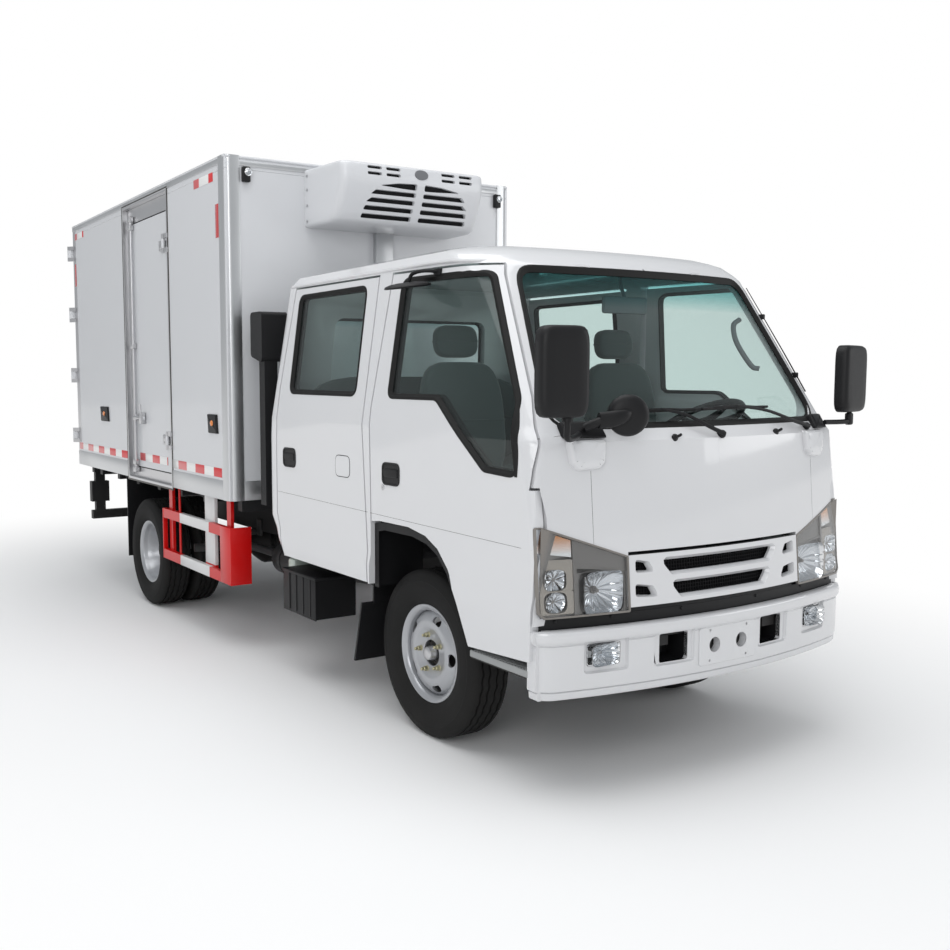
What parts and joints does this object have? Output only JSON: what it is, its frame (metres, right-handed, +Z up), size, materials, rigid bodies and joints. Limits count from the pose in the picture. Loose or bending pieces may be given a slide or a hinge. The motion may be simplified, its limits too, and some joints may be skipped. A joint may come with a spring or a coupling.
{
  "type": "refrigerated light truck",
  "caption": "Light cab-over truck with a four-door cab and an insulated box body, with hinged doors, steered front wheels and rolling wheels.",
  "frame": {"origin": "on the floor under the middle of the truck's bounding box", "axes": "+X is the truck's left side, +Y points to the rear and the front faces -Y, +Z is up"},
  "size_m": [2.08, 6.0533, 2.872],
  "materials": {
    "white_paint": "gloss",
    "panel_white": "satin",
    "black_paint": "satin",
    "stainless": "satin",
    "cast_dark": "matte",
    "spring_steel": "matte",
    "dark_plastic": "matte",
    "grey_plastic": "matte",
    "seat_cloth": "matte",
    "glazing": "polished",
    "lamp_glass": "polished",
    "tyre_rubber": "matte",
    "wheel_paint": "satin",
    "guard_paint": "gloss",
    "tank_steel": "satin"
  },
  "bodies": {
    "chassis": {"air_intake": "dark_plastic", "battery_box": "dark_plastic", "box_floor": "panel_white", "box_front_wall": "panel_white", "box_left_wall": "panel_white", "box_rear_frame": "stainless", "box_right_wall": "panel_white", "box_roof": "panel_white", "box_subframe": "black_paint", "cab_floor": "white_paint", "cab_front": "white_paint", "cab_glass": "glazing", "cab_rear_wall": "white_paint", "cab_roof": "white_paint", "cab_seats": "seat_cloth", "cab_side_frames": "white_paint", "cab_steps": "black_paint", "dashboard": "grey_plastic", "engine_block": "cast_dark", "exhaust": "tank_steel", "frame_rails": "black_paint", "front_axle": "black_paint", "front_bumper": "white_paint", "fuel_tank": "tank_steel", "grille": "dark_plastic", "headlamps": "lamp_glass", "leaf_springs": "spring_steel", "mirrors": "dark_plastic", "mudguards": "dark_plastic", "rear_axle": "black_paint", "rear_underrun": "black_paint", "reefer_unit": "panel_white", "side_door_frame": "stainless", "side_guards": "guard_paint", "side_hinges": "stainless", "wipers": "dark_plastic"},
    "knuckle_right": {"knuckle_right": "cast_dark"},
    "knuckle_left": {"knuckle_left": "cast_dark"},
    "wheel_front_right": {"tyre_front_right": "tyre_rubber", "rim_front_right": "wheel_paint"},
    "wheel_front_left": {"tyre_front_left": "tyre_rubber", "rim_front_left": "wheel_paint"},
    "wheels_rear_right": {"tyres_rear_right": "tyre_rubber", "rims_rear_right": "wheel_paint"},
    "wheels_rear_left": {"tyres_rear_left": "tyre_rubber", "rims_rear_left": "wheel_paint"},
    "steering_wheel": {"steering_wheel": "dark_plastic"},
    "door_front_right": {"door_front_right": "white_paint", "glass_front_right": "glazing"},
    "door_front_left": {"door_front_left": "white_paint", "glass_front_left": "glazing"},
    "door_rear_right": {"door_rear_right": "white_paint", "glass_rear_right": "glazing"},
    "door_rear_left": {"door_rear_left": "white_paint", "glass_rear_left": "glazing"},
    "box_side_door": {"box_side_door": "panel_white"},
    "box_rear_door_right": {"box_rear_door_right": "panel_white"},
    "box_rear_door_left": {"box_rear_door_left": "panel_white"}
  },
  "joints": [
    {"name": "steer_right", "type": "hinge", "parent": "chassis", "child": "knuckle_right", "pos_m": [-0.64, -1.973, 0.38], "axis": [0, 0, 1], "range_deg": [-33, 33]},
    {"name": "steer_left", "type": "hinge", "parent": "chassis", "child": "knuckle_left", "pos_m": [0.64, -1.973, 0.38], "axis": [0, 0, 1], "range_deg": [-33, 33]},
    {"name": "steering_wheel_turn", "type": "hinge", "parent": "chassis", "child": "steering_wheel", "pos_m": [0.43, -2.413, 1.4], "axis": [0, 0.5, 0.866], "range_deg": [-561, 561]},
    {"name": "spin_front_right", "type": "hinge", "parent": "knuckle_right", "child": "wheel_front_right", "pos_m": [-0.71, -1.973, 0.38], "axis": [1, 0, 0], "continuous": true},
    {"name": "spin_front_left", "type": "hinge", "parent": "knuckle_left", "child": "wheel_front_left", "pos_m": [0.71, -1.973, 0.38], "axis": [1, 0, 0], "continuous": true},
    {"name": "spin_rear_right", "type": "hinge", "parent": "chassis", "child": "wheels_rear_right", "pos_m": [-0.745, 1.387, 0.38], "axis": [1, 0, 0], "continuous": true},
    {"name": "spin_rear_left", "type": "hinge", "parent": "chassis", "child": "wheels_rear_left", "pos_m": [0.745, 1.387, 0.38], "axis": [1, 0, 0], "continuous": true},
    {"name": "door_front_right_swing", "type": "hinge", "parent": "chassis", "child": "door_front_right", "pos_m": [-0.905, -2.819, 1], "axis": [0, 0, 1], "range_deg": [0, 70]},
    {"name": "door_front_left_swing", "type": "hinge", "parent": "chassis", "child": "door_front_left", "pos_m": [0.905, -2.819, 1], "axis": [0, 0, -1], "range_deg": [0, 70]},
    {"name": "door_rear_right_swing", "type": "hinge", "parent": "chassis", "child": "door_rear_right", "pos_m": [-0.895, -1.575, 1], "axis": [0, 0, 1], "range_deg": [0, 65]},
    {"name": "door_rear_left_swing", "type": "hinge", "parent": "chassis", "child": "door_rear_left", "pos_m": [0.895, -1.575, 1], "axis": [0, 0, -1], "range_deg": [0, 65]},
    {"name": "box_side_door_swing", "type": "hinge", "parent": "chassis", "child": "box_side_door", "pos_m": [-1.01, 0.772, 1.85], "axis": [0, 0, 1], "range_deg": [0, 170]},
    {"name": "box_rear_door_right_swing", "type": "hinge", "parent": "chassis", "child": "box_rear_door_right", "pos_m": [-1.028, 3.015, 1.9], "axis": [0, 0, 1], "range_deg": [0, 265]},
    {"name": "box_rear_door_left_swing", "type": "hinge", "parent": "chassis", "child": "box_rear_door_left", "pos_m": [1.028, 3.015, 1.9], "axis": [0, 0, -1], "range_deg": [0, 265]}
  ],
  "couplings": [
    {"joint": "steer_left", "follows": "steer_right", "ratio": 1},
    {"joint": "steering_wheel_turn", "follows": "steer_right", "ratio": 17}
  ]
}
